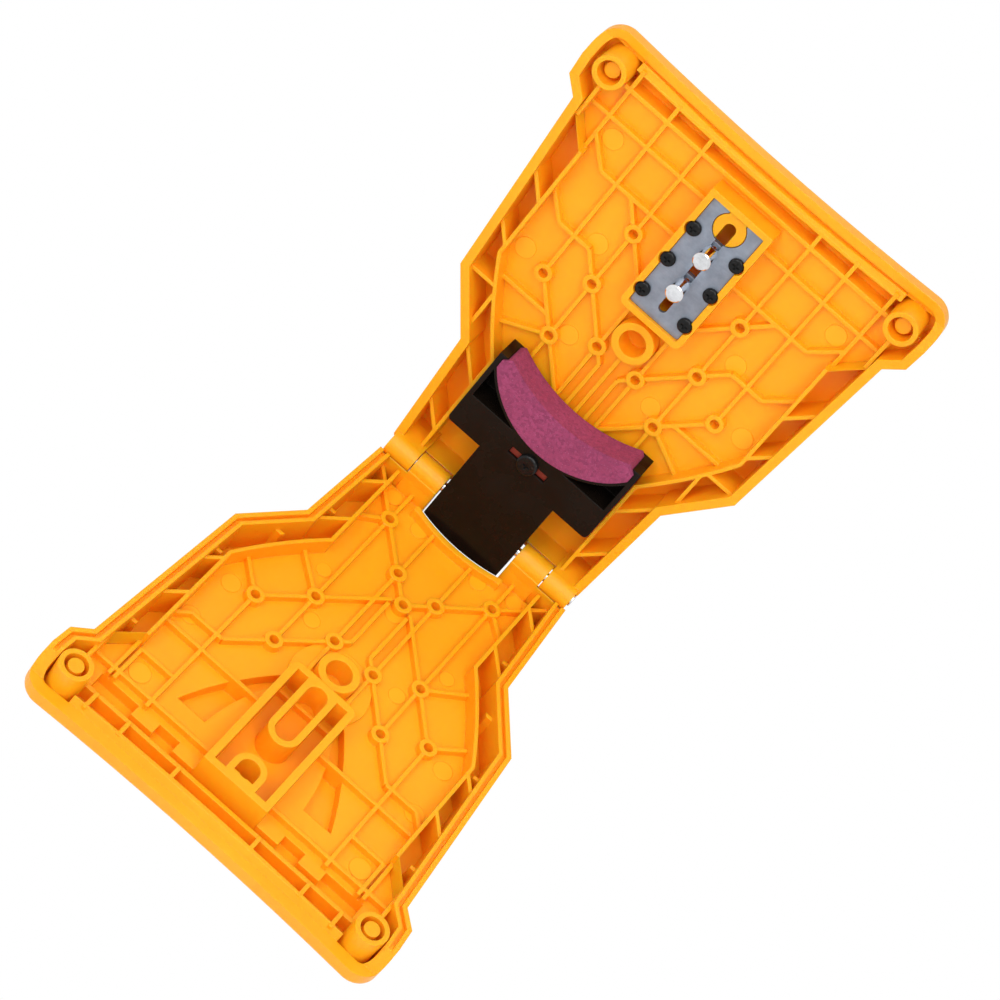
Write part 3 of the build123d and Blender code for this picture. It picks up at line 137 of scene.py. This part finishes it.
def make_lamps(turn):
    for name, direction, size, watts in CAMERA_LAMPS:
        soft_box(name, turn @ direction, size, watts)
    soft_box(*TOP_LAMP)


def ray_split(tree, plain, seen):
    """Number that is plain for light and shadow rays and seen for what is looked at."""
    path = tree.nodes.new("ShaderNodeLightPath")
    either = tree.nodes.new("ShaderNodeMath")
    either.operation = "MAXIMUM"
    tree.links.new(path.outputs["Is Camera Ray"], either.inputs[0])
    tree.links.new(path.outputs["Is Glossy Ray"], either.inputs[1])
    blend = tree.nodes.new("ShaderNodeMapRange")
    blend.inputs["To Min"].default_value = plain
    blend.inputs["To Max"].default_value = seen
    tree.links.new(either.outputs[0], blend.inputs["Value"])
    return blend.outputs["Result"]


def make_world():
    """Even light that is white where it is looked at."""
    world = bpy.data.worlds.new("studio")
    world.use_nodes = True
    background = world.node_tree.nodes["Background"]
    background.inputs["Color"].default_value = WHITE
    strength = ray_split(world.node_tree, WORLD_LIGHT, 1.0)
    world.node_tree.links.new(strength, background.inputs["Strength"])
    bpy.context.scene.world = world
    bpy.context.scene.view_settings.view_transform = "Standard"


def make_floor():
    """Large pale disc under the object, white where it is looked at."""
    ring = []
    for step in range(FLOOR_STEPS):
        angle = 2 * math.pi * step / FLOOR_STEPS
        ring.append((
            FLOOR_RADIUS * math.cos(angle), FLOOR_RADIUS * math.sin(angle), -FLOOR_DROP,
        ))
    mesh = bpy.data.meshes.new("floor")
    mesh.from_pydata(ring, [], [tuple(range(FLOOR_STEPS))])
    floor = bpy.data.objects.new("floor", mesh)
    bpy.context.scene.collection.objects.link(floor)
    material = bpy.data.materials.new("pale_floor")
    material.use_nodes = True
    tree = material.node_tree
    shader = tree.nodes["Principled BSDF"]
    tree.links.new(ray_split(tree, FLOOR_SHADE, 0.0), shader.inputs["Base Color"])
    shader.inputs["Roughness"].default_value = 1.0
    shader.inputs["Specular IOR Level"].default_value = 0.0
    shader.inputs["Emission Color"].default_value = WHITE
    tree.links.new(ray_split(tree, 0.0, 1.0), shader.inputs["Emission Strength"])
    mesh.materials.append(material)


# ------------------------------------------------------------------ materials
PLAIN_SPECULAR = 0.5
EDGE_SAMPLES = 4

# Places of the colour sockets on a Mix node.
MIX_FIRST = 6
MIX_SECOND = 7
MIX_RESULT = 2

MOULD_GLOW = 0.60
GLOW_RADIUS = (1.0, 0.25, 0.02)
GLOW_SCALE = 3.5 * MM

GRAIN_DEPTH = 0.01 * MM
MOULDED_EDGE = 0.5 * MM
SMALL_EDGE = 0.3 * MM
METAL_EDGE = 0.2 * MM
TARNISH_SHADE = 0.72


class Finish:
    """A material's node tree, with short ways to add to it."""

    def __init__(self, name, color, roughness, metallic=0.0, specular=PLAIN_SPECULAR):
        self.material = bpy.data.materials.new(name)
        self.material.use_nodes = True
        self.tree = self.material.node_tree
        self.shader = self.tree.nodes["Principled BSDF"]
        self.shader.inputs["Base Color"].default_value = (*color, 1.0)
        self.shader.inputs["Roughness"].default_value = roughness
        self.shader.inputs["Metallic"].default_value = metallic
        self.shader.inputs["Specular IOR Level"].default_value = specular
        place = self.tree.nodes.new("ShaderNodeTexCoord")
        self.place = place.outputs["Object"]

    def add(self, kind, **settings):
        node = self.tree.nodes.new(kind)
        for key, value in settings.items():
            setattr(node, key, value)
        return node

    def link(self, source, target):
        self.tree.links.new(source, target)

    def stretched(self, scale):
        """Place whose axes are scaled one by one."""
        mapping = self.add("ShaderNodeMapping")
        mapping.inputs["Scale"].default_value = scale
        self.link(self.place, mapping.inputs["Vector"])
        return mapping.outputs["Vector"]

    def noise(self, scale, detail=2.0, roughness=0.5, place=None):
        node = self.add("ShaderNodeTexNoise")
        node.inputs["Scale"].default_value = scale
        node.inputs["Detail"].default_value = detail
        node.inputs["Roughness"].default_value = roughness
        self.link(place or self.place, node.inputs["Vector"])
        return node.outputs["Fac"]

    def grains(self, scale):
        """Cells that each have a shade of their own."""
        node = self.add("ShaderNodeTexVoronoi", feature="F1")
        node.inputs["Scale"].default_value = scale
        self.link(self.place, node.inputs["Vector"])
        return node.outputs["Color"]

    def ranged(self, value, low, high, to_low=0.0, to_high=1.0):
        node = self.add("ShaderNodeMapRange")
        node.inputs["From Min"].default_value = low
        node.inputs["From Max"].default_value = high
        node.inputs["To Min"].default_value = to_low
        node.inputs["To Max"].default_value = to_high
        self.link(value, node.inputs["Value"])
        return node.outputs["Result"]

    def mixed(self, factor, first, second):
        """Colour between two colours, each a socket or three numbers."""
        node = self.add("ShaderNodeMix", data_type="RGBA")
        self.link(factor, node.inputs["Factor"])
        for place, value in ((MIX_FIRST, first), (MIX_SECOND, second)):
            if isinstance(value, bpy.types.NodeSocket):
                self.link(value, node.inputs[place])
            else:
                node.inputs[place].default_value = (*value, 1.0)
        return node.outputs[MIX_RESULT]

    def color(self, socket):
        self.link(socket, self.shader.inputs["Base Color"])

    def glow(self, weight):
        """Light that passes a little way through the plastic."""
        self.shader.inputs["Subsurface Weight"].default_value = weight
        self.shader.inputs["Subsurface Radius"].default_value = GLOW_RADIUS
        self.shader.inputs["Subsurface Scale"].default_value = GLOW_SCALE

    def roughness(self, socket):
        self.link(socket, self.shader.inputs["Roughness"])

    def bump(self, heights, edge_radius):
        """Adds (height socket, distance in metres) bumps over softened edges."""
        bevel = self.add("ShaderNodeBevel", samples=EDGE_SAMPLES)
        bevel.inputs["Radius"].default_value = edge_radius
        normal = bevel.outputs["Normal"]
        for height, distance in heights:
            node = self.add("ShaderNodeBump")
            node.inputs["Distance"].default_value = distance
            self.link(height, node.inputs["Height"])
            self.link(normal, node.inputs["Normal"])
            normal = node.outputs["Normal"]
        self.link(normal, self.shader.inputs["Normal"])


def yellow_plastic(name, glow):
    """Moulded yellow in two close tones; glow is how much light passes into it."""
    finish = Finish(name, (1.0, 0.40, 0.006), 0.36, specular=0.3)
    if glow:
        finish.glow(glow)
    cloud = finish.ranged(finish.noise(14.0, detail=3.0), 0.35, 0.65)
    finish.color(finish.mixed(cloud, (1.0, 0.385, 0.005), (1.0, 0.415, 0.009)))
    smear = finish.noise(55.0, detail=4.0, roughness=0.6)
    finish.roughness(finish.ranged(smear, 0.3, 0.7, 0.32, 0.46))
    waves = finish.noise(38.0)
    grain = finish.noise(2600.0)
    finish.bump([(waves, 0.5 * MM), (grain, GRAIN_DEPTH)], MOULDED_EDGE)
    return finish.material


def black_plastic():
    """Near-black moulding of the sled, smooth with duller patches."""
    finish = Finish("black_moulded_plastic", (0.006, 0.004, 0.003), 0.25, specular=0.14)
    cloud = finish.noise(40.0, detail=4.0, roughness=0.65)
    finish.color(finish.mixed(cloud, (0.005, 0.003, 0.002), (0.009, 0.006, 0.004)))
    finish.roughness(finish.ranged(cloud, 0.3, 0.7, 0.16, 0.36))
    waves = finish.noise(45.0)
    grain = finish.noise(2200.0)
    finish.bump([(waves, 0.3 * MM), (grain, GRAIN_DEPTH)], MOULDED_EDGE)
    return finish.material


def pink_stone():
    """Bonded pink grit with bright and dark specks."""
    finish = Finish("pink_bonded_grit", (0.31, 0.044, 0.125), 0.85)
    patch = finish.ranged(finish.noise(60.0, detail=3.0), 0.35, 0.65)
    body = finish.mixed(patch, (0.295, 0.037, 0.105), (0.345, 0.050, 0.145))
    grit = finish.ranged(finish.grains(900.0), 0.1, 0.9)
    body = finish.mixed(grit, body, (0.22, 0.028, 0.090))
    bright = finish.noise(2400.0, roughness=0.7)
    bright = finish.ranged(bright, 0.62, 0.72, 0.0, 0.5)
    body = finish.mixed(bright, body, (0.52, 0.20, 0.36))
    dark = finish.noise(1500.0, detail=3.0, roughness=0.7)
    dark = finish.ranged(dark, 0.36, 0.27, 0.0, 0.85)
    finish.color(finish.mixed(dark, body, (0.10, 0.012, 0.035)))
    coarse = finish.noise(1100.0, detail=3.0, roughness=0.7)
    fine = finish.noise(3600.0, roughness=0.7)
    finish.bump([(coarse, 0.25 * MM), (fine, 0.12 * MM)], MOULDED_EDGE)
    return finish.material


def red_plastic():
    """Dark red moulding of the key strip; the dark red is painted shade, standing in for yellow
    plastic in deep shadow down the slot.
    """
    finish = Finish("painted_shade_red_plastic", (0.20, 0.015, 0.005), 0.4)
    cloud = finish.noise(60.0, detail=3.0)
    # Both tones are painted shade: darkened stand-ins for the yellow cover plastic.
    finish.color(finish.mixed(cloud, (0.18, 0.012, 0.004), (0.22, 0.018, 0.006)))
    finish.roughness(finish.ranged(cloud, 0.3, 0.7, 0.34, 0.46))
    finish.bump([(finish.noise(2400.0), GRAIN_DEPTH)], SMALL_EDGE)
    return finish.material


def metal(name, color, rough, brush, dent, metallic=1.0):
    """Metal with a little tarnish and fine brush marks along x, brush times finer across
    and dent metres deep."""
    finish = Finish(name, color, rough, metallic)
    tarnish = finish.ranged(finish.noise(160.0, detail=4.0, roughness=0.65), 0.35, 0.7)
    darker = tuple(part * TARNISH_SHADE for part in color)
    finish.color(finish.mixed(tarnish, color, darker))
    across = finish.stretched((1.0, brush, brush))
    lines = finish.noise(240.0, detail=3.0, roughness=0.6, place=across)
    finish.roughness(finish.ranged(lines, 0.3, 0.7, rough * 0.75, rough * 1.3))
    finish.bump([(lines, dent)], METAL_EDGE)
    return finish.material


def black_oxide():
    """Blackened steel of the screws, lighter in small random spots."""
    finish = Finish("black_oxide_steel", (0.006, 0.006, 0.006), 0.20, specular=0.22)
    wear = finish.noise(700.0, detail=4.0, roughness=0.7)
    lighter_spots = finish.ranged(wear, 0.60, 0.72, 0.0, 0.6)
    finish.color(finish.mixed(lighter_spots, (0.005, 0.005, 0.005), (0.045, 0.042, 0.040)))
    finish.roughness(finish.ranged(wear, 0.3, 0.7, 0.10, 0.26))
    finish.bump([(wear, 0.04 * MM)], SMALL_EDGE)
    return finish.material


FINISHES = {
    "yellow_plastic": yellow_plastic("yellow_moulded_plastic", MOULD_GLOW),
    "black_plastic": black_plastic(),
    "pink_stone": pink_stone(),
    # The key strip's dark red is painted shade for yellow plastic deep in the slot's shadow.
    "red_plastic": red_plastic(),
    "zinc_steel": metal(
        "zinc_plated_steel", (0.30, 0.34, 0.41), 0.45, 12.0, 0.01 * MM, metallic=0.7
    ),
    "bright_steel": metal("polished_steel", (0.82, 0.83, 0.85), 0.10, 6.0, 0.005 * MM),
    "black_steel": black_oxide(),
    "spring_steel": metal("drawn_spring_wire", (0.50, 0.50, 0.52), 0.30, 4.0, 0.01 * MM),
}

# The marks are too thin for light to pass through them evenly, so they have no glow.
MARK_FINISH = yellow_plastic("yellow_ejector_marks", 0.0)


def finish_cad_nodes():
    slots = {part["node"]: part["material_slot"] for part in frame["record"]["subparts"]}
    for name, part in nodes.items():
        part.data.materials.clear()
        part.data.materials.append(FINISHES[slots[name]])


# ------------------------------------------------------------------ geometry trees
class Tree:
    """A geometry tree with named inputs, built node by node."""

    def __init__(self, name, inputs):
        self.group = bpy.data.node_groups.new(name, "GeometryNodeTree")
        face = self.group.interface
        face.new_socket("Geometry", in_out="INPUT", socket_type="NodeSocketGeometry")
        self.ids = {}
        for label, (kind, value) in inputs.items():
            socket = face.new_socket(label, in_out="INPUT", socket_type=kind)
            if value is not None:
                socket.default_value = value
            self.ids[label] = socket.identifier
        face.new_socket("Geometry", in_out="OUTPUT", socket_type="NodeSocketGeometry")
        self.source = self.group.nodes.new("NodeGroupInput")
        self.sink = self.group.nodes.new("NodeGroupOutput")

    def add(self, kind, links=None, **settings):
        """Node of a kind; links maps an input to a socket or a plain value."""
        node = self.group.nodes.new(kind)
        for key, value in settings.items():
            setattr(node, key, value)
        for key, value in (links or {}).items():
            if isinstance(value, bpy.types.NodeSocket):
                self.group.links.new(value, node.inputs[key])
            else:
                node.inputs[key].default_value = value
        return node

    def calc(self, operation, first, second):
        """Result of one operation on two sockets or plain numbers."""
        node = self.add("ShaderNodeMath", {0: first, 1: second}, operation=operation)
        return node.outputs[0]

    def given(self, label):
        return self.source.outputs[label]

    def end(self, geometry, material):
        real = self.add("GeometryNodeRealizeInstances", {"Geometry": geometry})
        links = {"Geometry": real.outputs["Geometry"], "Material": material}
        painted = self.add("GeometryNodeSetMaterial", links)
        self.group.links.new(painted.outputs["Geometry"], self.sink.inputs["Geometry"])


def mesh_from_tree(name, tree, values, start, place):
    """Plain mesh object from a tree run on the start mesh, put in its place."""
    carrier = bpy.data.objects.new(name + "_carrier", start)
    bpy.context.scene.collection.objects.link(carrier)
    modifier = carrier.modifiers.new("shape", "NODES")
    modifier.node_group = tree.group
    for label, value in values.items():
        modifier[tree.ids[label]] = value
    graph = bpy.context.evaluated_depsgraph_get()
    mesh = bpy.data.meshes.new_from_object(carrier.evaluated_get(graph))
    carrier.modifiers.clear()
    bpy.data.objects.remove(carrier)
    mesh.name = name
    mesh.transform(place)
    piece = bpy.data.objects.new(name, mesh)
    bpy.context.scene.collection.objects.link(piece)
    return piece


# ------------------------------------------------------------------ return springs
SPRING_X = 15.6 * MM
SPRING_Z = -12.6 * MM
SPRING_NEAR_Y = 12.85 * MM
SPRING_LENGTH = 24.0 * MM
SPRING_COIL_R = 2.55 * MM
SPRING_WIRE_R = 0.42 * MM
SPRING_TURNS = 9.0
SPRING_END_GAP = 0.02 * MM
CLOSED_PITCH = 2.1          # rise of a closed turn, in wire radii
CLOSED_END = 0.13           # share of the wire in the closed turns of each end
STEPS_PER_TURN = 24
WIRE_SIDES = 10
Y_FROM_Z = Matrix.Rotation(-math.pi / 2, 4, "X")


def coil_tree():
    """Compression spring along z with closed end turns."""
    tree = Tree("coil_spring", {
        "Coil Radius": ("NodeSocketFloat", SPRING_COIL_R),
        "Wire Radius": ("NodeSocketFloat", SPRING_WIRE_R),
        "Turns": ("NodeSocketFloat", SPRING_TURNS),
        "Length": ("NodeSocketFloat", SPRING_LENGTH),
        "Material": ("NodeSocketMaterial", None),
    })
    spiral = tree.add("GeometryNodeCurveSpiral", {
        "Resolution": STEPS_PER_TURN,
        "Rotations": tree.given("Turns"),
        "Start Radius": tree.given("Coil Radius"),
        "End Radius": tree.given("Coil Radius"),
        "Height": 0.0,
    })
    along = tree.add("GeometryNodeSplineParameter").outputs["Factor"]
    pitch = tree.calc("MULTIPLY", tree.given("Wire Radius"), CLOSED_PITCH)
    packed = tree.calc("MULTIPLY", pitch, tree.given("Turns"))
    closed = tree.calc("MULTIPLY", packed, along)
    spread = tree.add("ShaderNodeMapRange", {
        "Value": along, "From Min": CLOSED_END, "From Max": 1.0 - CLOSED_END,
    })
    free = tree.calc("SUBTRACT", tree.given("Length"), packed)
    free = tree.calc("SUBTRACT", free, pitch)
    opened = tree.calc("MULTIPLY", spread.outputs["Result"], free)
    height = tree.calc("ADD", closed, opened)
    height = tree.calc("ADD", height, tree.given("Wire Radius"))
    lift = tree.add("ShaderNodeCombineXYZ", {"Z": height})
    curve = tree.add("GeometryNodeSetPosition", {
        "Geometry": spiral.outputs["Curve"], "Offset": lift.outputs["Vector"],
    })
    ring = tree.add("GeometryNodeCurvePrimitiveCircle", {
        "Resolution": WIRE_SIDES, "Radius": tree.given("Wire Radius"),
    })
    tube = tree.add("GeometryNodeCurveToMesh", {
        "Curve": curve.outputs["Geometry"],
        "Profile Curve": ring.outputs["Curve"],
        "Fill Caps": True,
    })
    tree.end(tube.outputs["Mesh"], tree.given("Material"))
    return tree


def return_springs():
    """Both coil springs, each in place of the plain tube of its node."""
    tree = coil_tree()
    for side, x in (("left", -SPRING_X), ("right", SPRING_X)):
        near = Matrix.Translation((x, SPRING_NEAR_Y + SPRING_END_GAP, SPRING_Z))
        start = bpy.data.meshes.new("nothing")
        name = "coil_spring_" + side
        spring = mesh_from_tree(name, tree, {
            "Coil Radius": SPRING_COIL_R,
            "Wire Radius": SPRING_WIRE_R,
            "Turns": SPRING_TURNS,
            "Length": SPRING_LENGTH - 2 * SPRING_END_GAP,
            "Material": FINISHES["spring_steel"],
        }, start, ON_PIN_COVER @ near @ Y_FROM_Z)
        spring.data.shade_smooth()
        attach(spring, "pin_side")
        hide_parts("return_spring_" + side)
        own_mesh(spring)


# ------------------------------------------------------------------ ejector marks
# Each mark is x, y and radius in millimetres in its cover's own frame. All but the middle
# one are on both sides.
PIN_COVER_MARKS = (
    (53.8, 95.9, 4.3), (20.5, 80.1, 4.0), (54.0, 153.6, 4.2), (34.0, 117.1, 4.2),
)
CLAMP_COVER_MARKS = (
    (54.4, 119.2, 4.0), (15.0, 15.2, 3.6), (30.6, 10.9, 3.6), (30.8, 61.4, 3.2),
    (21.1, 83.4, 3.5), (52.6, 153.9, 4.4), (52.1, 95.6, 4.0),
)
CLAMP_COVER_MIDDLE_MARK = (0.0, 54.7, 4.0)
PANEL_TOP = -11.6 * MM
MARK_RISE = 0.3 * MM
MARK_DEPTH = 0.3 * MM
MARK_SIDES = 40


def mark_tree():
    """Low round marks on the points of the start mesh; a point's size is its radius."""
    tree = Tree("ejector_marks", {
        "Rise": ("NodeSocketFloat", MARK_RISE),
        "Depth": ("NodeSocketFloat", MARK_DEPTH),
        "Material": ("NodeSocketMaterial", None),
    })
    blank = tree.add("GeometryNodeMeshCylinder", {
        "Vertices": MARK_SIDES, "Radius": 1.0, "Depth": 1.0,
    })
    hung = tree.add("GeometryNodeTransform", {
        "Geometry": blank.outputs["Mesh"], "Translation": (0.0, 0.0, -0.5),
    })
    size = tree.add(
        "GeometryNodeInputNamedAttribute", {"Name": "mark_radius"}, data_type="FLOAT"
    )
    scale = tree.add("ShaderNodeCombineXYZ", {
        "X": size.outputs[0],
        "Y": size.outputs[0],
        "Z": tree.calc("ADD", tree.given("Rise"), tree.given("Depth")),
    })
    lift = tree.add("ShaderNodeCombineXYZ", {"Z": tree.given("Rise")})
    lifted = tree.add("GeometryNodeSetPosition", {
        "Geometry": tree.given("Geometry"), "Offset": lift.outputs["Vector"],
    })
    placed = tree.add("GeometryNodeInstanceOnPoints", {
        "Points": lifted.outputs["Geometry"],
        "Instance": hung.outputs["Geometry"],
        "Scale": scale.outputs["Vector"],
    })
    tree.end(placed.outputs["Instances"], tree.given("Material"))
    return tree


def both_sides(marks):
    return [(side * x, y, radius) for x, y, radius in marks for side in (-1, 1)]


def ejector_marks(name, body, place, marks):
    start = bpy.data.meshes.new("mark_points")
    start.from_pydata([(x * MM, y * MM, PANEL_TOP) for x, y, radius in marks], [], [])
    attribute = start.attributes.new("mark_radius", "FLOAT", "POINT")
    attribute.data.foreach_set("value", [radius * MM for x, y, radius in marks])
    piece = mesh_from_tree(name, mark_tree(), {
        "Rise": MARK_RISE,
        "Depth": MARK_DEPTH,
        "Material": MARK_FINISH,
    }, start, place)
    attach(piece, body)


# ------------------------------------------------------------------ the whole scene
camera_turn = make_camera()
make_world()
make_floor()
make_lamps(camera_turn)
finish_cad_nodes()
return_springs()
ejector_marks("pin_cover_marks", "pin_side", ON_PIN_COVER, both_sides(PIN_COVER_MARKS))
clamp_marks = both_sides(CLAMP_COVER_MARKS) + [CLAMP_COVER_MIDDLE_MARK]
ejector_marks("clamp_cover_marks", "clamp", ON_CLAMP_COVER, clamp_marks)
